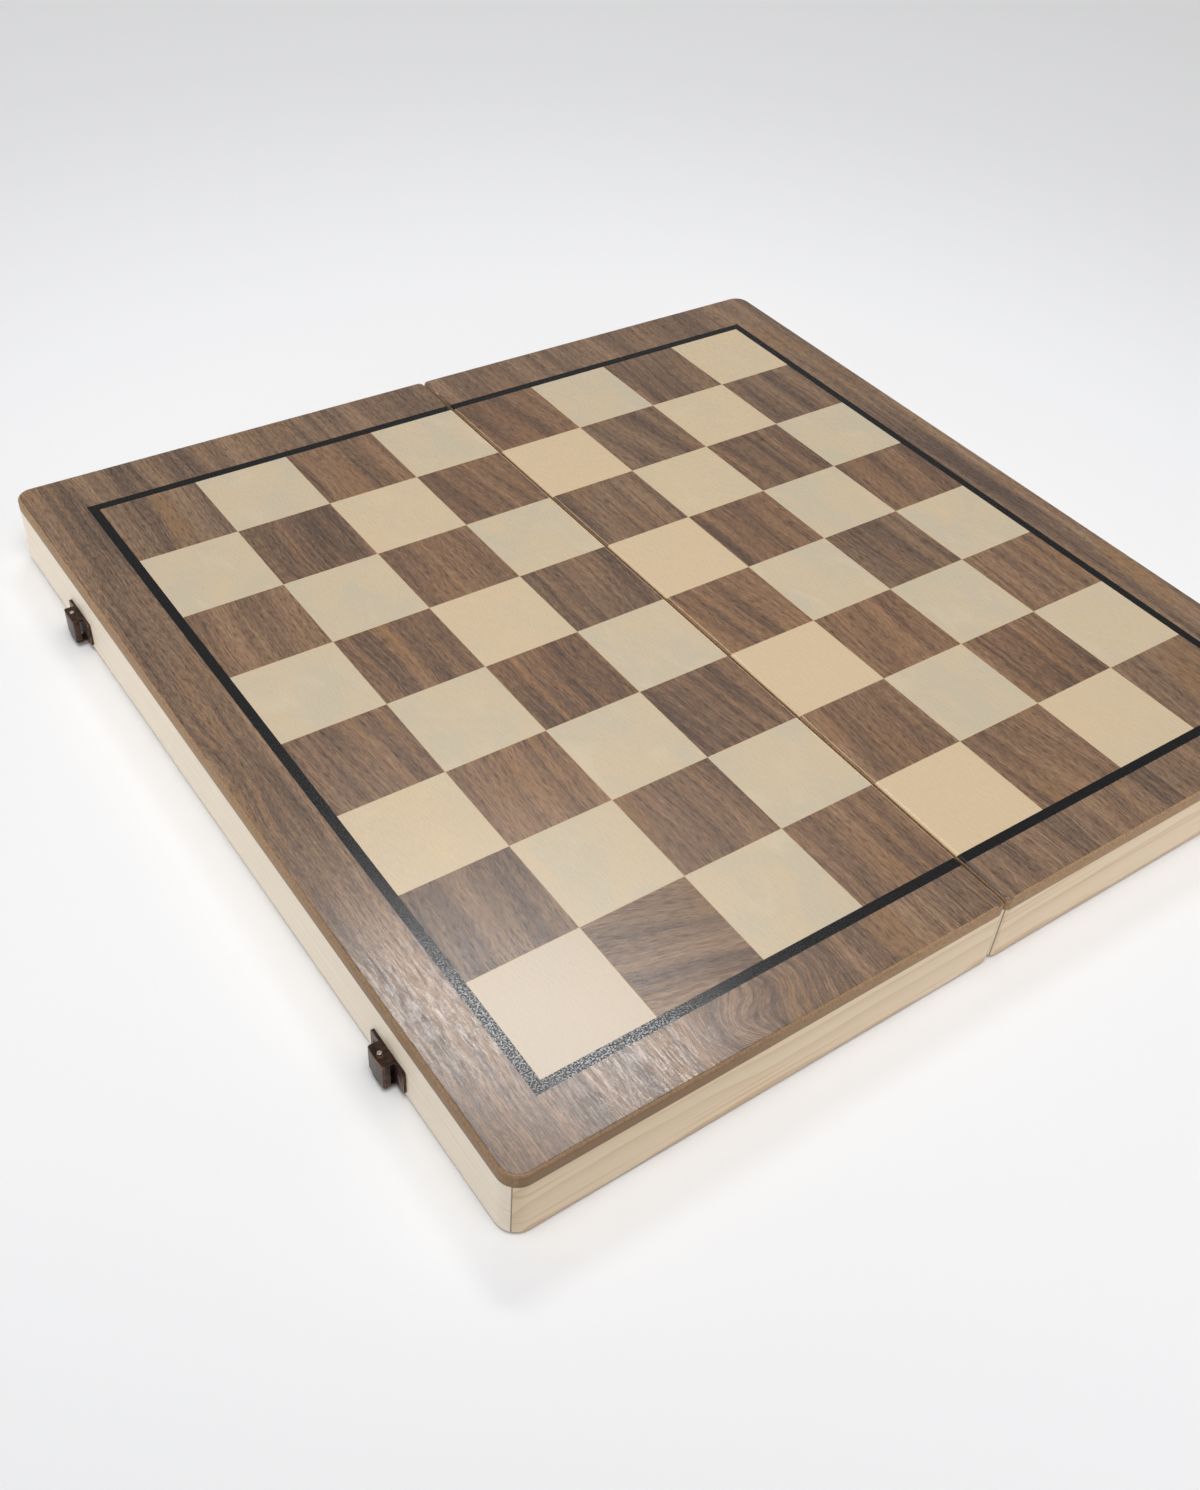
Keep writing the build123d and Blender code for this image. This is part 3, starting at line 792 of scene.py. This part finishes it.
cloths = {
    "felt": {"name": "greenFelt", "dark": (0.012, 0.055, 0.026), "light": (0.025, 0.11, 0.05), "grain": 0.5},
    "foam": {"name": "blackFoam", "dark": (0.012, 0.012, 0.013), "light": (0.035, 0.035, 0.037), "grain": 0.35},
}
clothLook = {
    "cloud": 12, "cloudFrom": (0.4, 0.7), "cloudShare": 0.3,
    "roughness": 0.95, "sheen": 0.15, "bump": 0.0002, "bumpStrength": 0.7,
}


def makeCloth(name, dark, light, grain):
    made, tree, shader = newMaterial(name)
    place = millimetres(tree)
    fuzz = grit(tree, place, grain, 3, 0.7)
    slow = grit(tree, place, clothLook["cloud"], 2)
    colour = blendColour(tree, spread(tree, fuzz, *usual), dark, light)
    clouds = spread(tree, slow, *clothLook["cloudFrom"], 0.0, clothLook["cloudShare"])
    colour = blendColour(tree, clouds, colour, dark)
    wire(tree, shader, colour, clothLook["roughness"], fuzz, clothLook["bump"], clothLook["bumpStrength"])
    shader.inputs["Sheen Weight"].default_value = clothLook["sheen"]
    return made


metals = {
    "brass": {
        "name": "brassSheet", "dark": (0.50, 0.34, 0.12), "light": (0.68, 0.50, 0.22),
        "metallic": 1.0, "roughness": (0.24, 0.38)},
    "bronze": {
        "name": "agedBronze", "dark": (0.030, 0.018, 0.014), "light": (0.080, 0.044, 0.030),
        "metallic": 0.6, "roughness": (0.28, 0.45), "worn": (0.55, 0.27, 0.14)},
    "steel": {
        "name": "brightSteel", "dark": (0.52, 0.52, 0.52), "light": (0.75, 0.75, 0.74),
        "metallic": 1.0, "roughness": (0.16, 0.28)},
}
metalLook = {
    "tarnish": (2.4, 3, 0.6),  # size in millimetres, detail and roughness
    "tarnishFrom": (0.35, 0.65),
    "fine": (0.6, 2, 0.6),
    "wornReach": 0.0003,  # metres from an edge
    "wornSamples": 6,
    "wornFrom": (0.985, 0.90),  # cosine of the turn that the rounded edge gives
    "rubbed": (3.0, 2, 0.6),
    "rubbedFrom": (0.38, 0.58),
    "bump": 0.00002,
    "bumpStrength": 0.4,
}


# 1 where a piece's edges are worn bright, 0 on its faces
def wornEdges(tree, place):
    rounded = tree.nodes.new("ShaderNodeBevel")
    rounded.samples = metalLook["wornSamples"]
    rounded.inputs["Radius"].default_value = metalLook["wornReach"]
    plain = tree.nodes.new("ShaderNodeNewGeometry")
    both = tree.nodes.new("ShaderNodeVectorMath")
    both.operation = "DOT_PRODUCT"
    tree.links.new(rounded.outputs[0], both.inputs[0])
    tree.links.new(plain.outputs["Normal"], both.inputs[1])
    edge = spread(tree, both.outputs["Value"], *metalLook["wornFrom"])
    rubbed = spread(tree, grit(tree, place, *metalLook["rubbed"]), *metalLook["rubbedFrom"])
    return times(tree, edge, rubbed)


def makeMetal(name, dark, light, metallic, roughness, worn=None):
    made, tree, shader = newMaterial(name)
    place = millimetres(tree)
    tarnish = spread(tree, grit(tree, place, *metalLook["tarnish"]), *metalLook["tarnishFrom"])
    fine = grit(tree, place, *metalLook["fine"])
    colour = blendColour(tree, tarnish, dark, light)
    if worn:
        colour = blendColour(tree, wornEdges(tree, place), colour, worn)
    rough = spread(tree, fine, *usual, *roughness)
    wire(tree, shader, colour, rough, fine, metalLook["bump"], metalLook["bumpStrength"])
    shader.inputs["Metallic"].default_value = metallic
    return made


def makeTable():
    made, tree, shader = newMaterial("tablePaper")
    look = tableLook
    place = objectPlace(tree)
    clouds = spread(tree, noise(tree, place, look["cloudScale"], 2), *usual)
    colour = blendColour(tree, clouds, look["colour"], dimmed(look["colour"], look["cloudShare"]))
    x, y, _ = separate(tree, place)
    away = levelLength(tree, x, y)
    # painted shade: the table darker far behind the board
    behind = spread(tree, along(tree, x, y, look["behindWay"]), *look["behindStarts"])
    behindShade = times(tree, spread(tree, away, *look["behindFall"]), behind)
    colour = blendColour(tree, behindShade, colour, dimmed(look["colour"], look["behindShadeShare"]))
    # from below, the table lets the board's underside show
    fromAbove = minus(tree, 1.0, tree.nodes.new("ShaderNodeNewGeometry").outputs["Backfacing"])
    feedInputs(tree, shader, {
        "Base Color": colour, "Roughness": look["roughness"], "Specular IOR Level": look["specular"],
        "Alpha": fromAbove})
    # the white background is for the camera and for reflections only
    rays = tree.nodes.new("ShaderNodeLightPath").outputs
    seen = calc(tree, "MAXIMUM", rays["Is Camera Ray"], rays["Is Glossy Ray"])
    glow = tree.nodes.new("ShaderNodeEmission")
    feed(tree, glow.inputs["Strength"], spread(tree, away, *look["whiteRange"], *look["whiteLevel"]))
    white = times(tree, spread(tree, away, *look["whiteFrom"]), fromAbove)
    mixed = tree.nodes.new("ShaderNodeMixShader")
    feed(tree, mixed.inputs[0], times(tree, seen, white))
    tree.links.new(shader.outputs[0], mixed.inputs[1])
    tree.links.new(glow.outputs[0], mixed.inputs[2])
    tree.links.new(mixed.outputs[0], tree.nodes["Material Output"].inputs["Surface"])
    table.data.materials.append(made)


def makeCard():
    made, tree, shader = newMaterial("cardCloth")
    place = objectPlace(tree)
    grain = noise(tree, place, cardLook["grainScale"], 2)
    feed(tree, shader.inputs["Base Color"], blendColour(tree, grain, *cardLook["colours"]))
    x, y, _ = separate(tree, place)
    sides = spread(tree, calc(tree, "ABSOLUTE", x), *cardLook["sideFade"], 1.0, 0.0)
    fade = times(tree, sides, spread(tree, y, *cardLook["topFade"], 1.0, 0.0))
    feed(tree, shader.inputs["Alpha"], fade)
    card.data.materials.append(made)


def makeWorld():
    world = bpy.data.worlds.new("studioWorld")
    scene.world = world
    world.use_nodes = True
    tree = world.node_tree
    background = tree.nodes["Background"]
    background.inputs["Color"].default_value = (1, 1, 1, 1)
    x, y, z = separate(tree, tree.nodes.new("ShaderNodeTexCoord").outputs["Generated"])
    backness = spread(tree, along(tree, x, y, worldLook["backWay"]), *worldLook["backSides"])
    climb = times(tree, spread(tree, z, *worldLook["backFoot"]), spread(tree, z, *worldLook["backTop"]))
    front = spread(tree, z, *worldLook["climb"], worldLook["low"], worldLook["high"])
    dim = times(tree, backness, climb)
    level = spread(tree, dim, 0.0, 1.0, front, worldLook["back"], smooth=False)
    feed(tree, background.inputs["Strength"], level)


makeTable()
makeCard()
makeWorld()
scene.view_settings.view_transform = "Standard"
print("stage: light and table")

finishes = {
    "walnutSquares": makeWalnutSquares(),
    "walnutBorder": makeWalnutBorder(),
    "maple": makeMapleSquares(),
    "line": makeBlackLine(),
    "fibreboard": makeFibreboard(),
}
for looks, maker in ((pines, makePine), (cloths, makeCloth), (metals, makeMetal)):
    for finish, look in looks.items():
        finishes[finish] = maker(**look)
print("stage: materials")


# Modelling: pieces are shaped at one unit to the millimetre and brought down at the end. Angles are in degrees.
modelling = {"weld": 0.002, "flat": 0.8, "smooth": 35, "nodeSmooth": 40, "metalEdge": 35, "bevelSteps": 2}


def clearSelection():
    if bpy.context.object and bpy.context.object.mode != "OBJECT":
        bpy.ops.object.mode_set(mode="OBJECT")
    bpy.ops.object.select_all(action="DESELECT")


def makeActive(piece):
    clearSelection()
    piece.select_set(True)
    bpy.context.view_layer.objects.active = piece


def applyModifier(piece, kind, **settings):
    makeActive(piece)
    made = piece.modifiers.new(kind.lower(), kind)
    for key, value in settings.items():
        setattr(made, key, value)
    bpy.ops.object.modifier_apply(modifier=made.name)


def applyTransform():
    bpy.ops.object.transform_apply(location=True, rotation=True, scale=True)


def addBlock(name, low, high):
    clearSelection()
    bpy.ops.mesh.primitive_cube_add(size=1, location=[(a + b) / 2 for a, b in zip(low, high)])
    block = bpy.context.object
    block.name = name
    block.scale = [b - a for a, b in zip(low, high)]
    applyTransform()
    return block


# Opens a piece in edit mode with everything selected, or nothing
def openEdit(piece, action="SELECT"):
    makeActive(piece)
    bpy.ops.object.mode_set(mode="EDIT")
    bpy.ops.mesh.select_all(action=action)


def closeEdit():
    bpy.ops.object.mode_set(mode="OBJECT")


# Selects the edges or faces whose middle and direction pass a test, in edit mode
def pick(piece, kind, test):
    openEdit(piece, "DESELECT")
    bpy.ops.mesh.select_mode(type="EDGE" if kind == "edges" else "FACE")
    mesh = bmesh.from_edit_mesh(piece.data)
    for part in getattr(mesh, kind):
        if kind == "edges":
            a, b = (v.co for v in part.verts)
            middle, way = (a + b) / 2, (b - a).normalized()
        else:
            middle, way = part.calc_center_median(), part.normal
        if test(middle, way):
            part.select_set(True)
    bmesh.update_edit_mesh(piece.data)


def joined(pieces, name):
    clearSelection()
    for piece in pieces:
        piece.select_set(True)
    bpy.context.view_layer.objects.active = pieces[0]
    bpy.ops.object.join()
    pieces[0].name = name
    return pieces[0]


def copyOf(piece, matrix):
    made = bpy.data.objects.new(piece.name, piece.data.copy())
    scene.collection.objects.link(made)
    made.data.transform(matrix)
    return made


nodeBodies = {node: body for body, nodes in frame["record"]["behaviour"]["bodies"].items() for node in nodes}


def camel(node):
    first, *rest = node.split("_")
    return first + "".join(word.capitalize() for word in rest)


# Brings a shaped piece to metres, gives it its finish and ties it to its body in place of its node
def settle(piece, node, finish, smooth=modelling["smooth"]):
    makeActive(piece)
    piece.name = camel(node)
    piece.data.name = camel(node)
    piece.scale = (mm, mm, mm)
    applyTransform()
    bpy.ops.object.shade_smooth_by_angle(angle=math.radians(smooth))
    applyModifier(piece, "WEIGHTED_NORMAL", keep_sharp=True, weight=100)
    piece.data.materials.clear()
    piece.data.materials.append(finishes[finish])
    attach(piece, nodeBodies[node])
    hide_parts(node)
    print("made", camel(node))


# A frame node's own shape with its triangles merged into whole faces
def mergedCopy(node):
    piece = bpy.data.objects.new(node, frame["nodes"][node].data.copy())
    scene.collection.objects.link(piece)
    piece.data.transform(Matrix.Scale(1 / mm, 4))
    openEdit(piece)
    bpy.ops.mesh.remove_doubles(threshold=modelling["weld"])
    bpy.ops.mesh.dissolve_limited(angle_limit=math.radians(modelling["flat"]))
    closeEdit()
    return piece


# Wood: the frame's own shapes, merged and shaded smooth
woodFinishes = {
    "core_panel": "fibreboard", "border_veneer": "walnutBorder", "line_inlay": "line",
    "light_squares": "maple", "dark_squares": "walnutSquares", "outer_wall": "pineOuter",
    "hinge_wall": "pineOuter", "near_wall": "pineEnd", "far_wall": "pineEnd",
}
for half in ("left", "right"):
    for ending, finish in woodFinishes.items():
        node = f"{half}_{ending}"
        settle(mergedCopy(node), node, finish, modelling["nodeSmooth"])
print("stage: wood")

# Metal: the frame's shapes with their edges worn round, by the millimetres given
metalFinishes = {
    "hinge_left_leaf": ("brass", 0.09), "hinge_right_leaf": ("brass", 0.09), "hinge_pin": ("steel", 0.12),
    "latch_base": ("bronze", 0.14), "latch_lever": ("bronze", 0.13), "latch_pin": ("steel", 0.22),
    "strike_plate": ("bronze", 0.14), "strike_tongue": ("bronze", 0.12), "strike_pin": ("steel", 0.1),
}
for end in ("near", "far"):
    for ending, (finish, wear) in metalFinishes.items():
        node = f"{end}_{ending}"
        piece = mergedCopy(node)
        applyModifier(
            piece, "BEVEL", width=wear, segments=modelling["bevelSteps"],
            limit_method="ANGLE", angle_limit=math.radians(modelling["metalEdge"]))
        settle(piece, node, finish, modelling["nodeSmooth"])
print("stage: metal")

screw = {
    "sides": 24,
    "rim": 0.12,  # height of the head's outer edge
    "headDepthShare": 0.88,
    "tipLength": 1.6,
    "tipShare": 0.15,
    "domeRings": ((0.30, 0.62), (0.28, 0.30), (0.22, 0.08)),  # shares of the radius inwards and the dome up
    "recessLength": 1.75,  # for a head of the radius below
    "recessWidth": 0.36,
    "recessDepth": 0.75,
    "recessRadius": 1.7,
    "past": 1.0,  # the cutter reaches this far out of the head
    "turns": (20, 65, 40, 80, 10, 50, 30, 72),  # degrees, as each one happened to stop
}
screwSizes = {
    "plate": {"headRadius": 1.7, "headDepth": 1.0, "shankRadius": 0.8, "length": 7.0, "dome": 0.30},
    "leaf": {"headRadius": 1.4, "headDepth": 0.5, "shankRadius": 0.6, "length": 6.0, "dome": 0.12},
}
# Distance of the face that the heads lie in from the seam, and places of the screws along it
screwRows = {
    "plate": {"face": 191.6, "height": 8.1, "middle": board["latchY"], "apart": 7.4},
    "leaf": {"face": board["seamFace"], "height": 8.0, "middle": 114.9, "apart": 8.0},
}
# Kind, side of the seam, way that the heads point along x, finish
screwSets = {
    "latch_screws": ("plate", -1, -1, "bronze"),
    "strike_screws": ("plate", 1, 1, "bronze"),
    "left_hinge_screws": ("leaf", -1, 1, "brass"),
    "right_hinge_screws": ("leaf", 1, -1, "brass"),
}


# A countersunk cross-recess screw, its head's face at the origin and its shank down
def makeScrew(headRadius, headDepth, shankRadius, length, dome):
    clearSelection()
    bpy.ops.mesh.primitive_circle_add(vertices=screw["sides"], radius=headRadius, fill_type="NGON")
    made = bpy.context.object
    openEdit(made)
    # each step down and the share of the width that is left there
    profile = (
        (-screw["rim"], 1.0),
        (headDepth * -screw["headDepthShare"], shankRadius / headRadius),
        (headDepth + screw["tipLength"] - length, 1.0),
        (-screw["tipLength"], screw["tipShare"]))
    for drop, share in profile:
        bpy.ops.mesh.extrude_region_move(TRANSFORM_OT_translate={"value": (0, 0, drop)})
        bpy.ops.transform.resize(value=(share, share, 1), center_override=(0, 0, 0))
    closeEdit()
    pick(made, "faces", lambda middle, way: abs(middle.z) < 1e-4)
    for width, rise in screw["domeRings"]:
        bpy.ops.mesh.inset(thickness=headRadius * width, depth=0)
        bpy.ops.transform.translate(value=(0, 0, dome * rise))
    bpy.ops.mesh.select_all(action="SELECT")
    bpy.ops.mesh.normals_make_consistent(inside=False)
    closeEdit()
    half, width, depth = (
        size * headRadius / screw["recessRadius"]
        for size in (screw["recessLength"] / 2, screw["recessWidth"] / 2, screw["recessDepth"]))
    for x, y in ((half, width), (width, half)):
        cutter = addBlock("recessCutter", (-x, -y, -depth), (x, y, screw["past"]))
        applyModifier(made, "BOOLEAN", operation="DIFFERENCE", object=cutter, solver="EXACT")
        bpy.data.objects.remove(cutter)
    return made


# Copies of a screw in its countersinks, all of one node's in one piece
def setScrews(node, kind, side, way, finish):
    row = screwRows[kind]
    stand = Vector((way, 0, 0)).to_track_quat("Z", "Y").to_matrix().to_4x4()
    ys = [a * row["middle"] + b * row["apart"] for a in (-1, 1) for b in (-1, 1)]
    copies = []
    for y, turn in zip(ys, screw["turns"]):
        place = Matrix.Translation((side * row["face"], y, row["height"]))
        copies.append(copyOf(screws[kind], place @ stand @ Matrix.Rotation(math.radians(turn), 4, "Z")))
    settle(joined(copies, node), node, finish)


screws = {kind: makeScrew(**sizes) for kind, sizes in screwSizes.items()}
for node, values in screwSets.items():
    setScrews(node, *values)
for source in screws.values():
    bpy.data.objects.remove(source)
print("stage: screws")

spring = {
    "wire": 0.3, "wireSides": 8, "wireFit": 0.96, "turns": 8, "turnSteps": 20,
    "radius": 1.0, "low": 6.9, "pinX": -193.8, "legLength": 1.7,
}


# A torsion spring: a ring of wire screwed up round the pin, and two straight legs
def makeSpring(end, latchY):
    node = f"{end}_latch_spring"
    thick, bottom = spring["wire"], spring["low"]
    clearSelection()
    bpy.ops.mesh.primitive_circle_add(
        vertices=spring["wireSides"], radius=thick / 2 * spring["wireFit"], fill_type="NOTHING",
        rotation=(math.radians(90), 0, 0), location=(spring["radius"], 0, bottom + thick / 2))
    coil = bpy.context.object
    applyTransform()
    applyModifier(
        coil, "SCREW", axis="Z", screw_offset=thick, iterations=spring["turns"] - 1,
        steps=spring["turnSteps"], render_steps=spring["turnSteps"], use_smooth_shade=True)
    lowEnd, highEnd = bottom + thick, bottom + thick * (spring["turns"] - 0.5) - 0.2

    # the wire's two cut ends both lie at y = 0
    def isCut(middle, way, top):
        level = middle.z > highEnd if top else middle.z < lowEnd
        return level and middle.x > 0 and abs(middle.y) < 0.02 and abs(way.y) < 0.2

    for top, ahead in ((False, -1), (True, 1)):
        pick(coil, "edges", lambda middle, way: isCut(middle, way, top))
        bpy.ops.mesh.extrude_edges_move(TRANSFORM_OT_translate={"value": (0, ahead * spring["legLength"], 0)})
        bpy.ops.mesh.edge_face_add()
        closeEdit()
    openEdit(coil)
    bpy.ops.mesh.normals_make_consistent(inside=False)
    closeEdit()
    coil.data.transform(Matrix.Translation((spring["pinX"], latchY, 0)))
    settle(coil, node, "steel")


for end, side in (("near", -1), ("far", 1)):
    makeSpring(end, side * board["latchY"])
print("stage: springs")

foam = {
    "slots": 8, "rib": 11.5, "margin": 9.0, "side": 7.9, "corner": 3.0, "cornerSteps": 5,
    "edge": 0.9, "edgeSteps": 3, "smooth": 50, "past": 1.0,
}
felt = {"columns": 36, "rows": 76, "shy": 0.1, "lift": 0.05, "loft": 0.10, "cloudSize": 9.0}


def nodeBox(node):
    return (Vector(v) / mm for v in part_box(node))


# The slotted foam: a block with a row of rounded cutters taken out of it, its edges soft
def makeFoam(half):
    node = f"{half}_foam_insert"
    low, high = nodeBox(node)
    block = addBlock(node, low, high)
    slotWidth = (high.y - low.y - 2 * foam["margin"] - (foam["slots"] - 1) * foam["rib"]) / foam["slots"]
    first = low.y + foam["margin"]
    lowest = (low.x + foam["side"], first, low.z - foam["past"])
    highest = (high.x - foam["side"], first + slotWidth, high.z + foam["past"])
    cutter = addBlock("slotCutter", lowest, highest)
    pick(cutter, "edges", lambda middle, way: abs(way.z) > 0.9)
    bpy.ops.mesh.bevel(offset=foam["corner"], segments=foam["cornerSteps"], affect="EDGES")
    closeEdit()
    applyModifier(
        cutter, "ARRAY", count=foam["slots"], use_relative_offset=False, use_constant_offset=True,
        constant_offset_displace=(0, slotWidth + foam["rib"], 0))
    applyModifier(block, "BOOLEAN", operation="DIFFERENCE", object=cutter, solver="EXACT")
    bpy.data.objects.remove(cutter)
    applyModifier(
        block, "BEVEL", width=foam["edge"], segments=foam["edgeSteps"],
        limit_method="ANGLE", angle_limit=math.radians(foam["smooth"]))
    settle(block, node, "foam", foam["smooth"])


# The felt under the panel: a cut sheet, thick and a little uneven on its open side
def makeFelt(half):
    node = f"{half}_felt_lining"
    low, high = nodeBox(node)
    width, length = high.x - low.x, high.y - low.y
    clearSelection()
    bpy.ops.mesh.primitive_grid_add(
        x_subdivisions=felt["columns"], y_subdivisions=felt["rows"], size=1,
        location=((low.x + high.x) / 2, 0, low.z + felt["lift"] + felt["loft"] / 2))
    sheet = bpy.context.object
    sheet.scale = (width - felt["shy"], length - felt["shy"], 1)
    applyTransform()
    clouds = bpy.data.textures.new(camel(node), "CLOUDS")
    clouds.noise_scale = felt["cloudSize"]
    applyModifier(sheet, "DISPLACE", texture=clouds, strength=felt["loft"], texture_coords="LOCAL", direction="Z")
    applyModifier(sheet, "SOLIDIFY", thickness=high.z - low.z - felt["lift"] - felt["loft"], offset=1)
    settle(sheet, node, "felt")


for half in ("left", "right"):
    makeFoam(half)
    makeFelt(half)
print("stage: foam and felt")
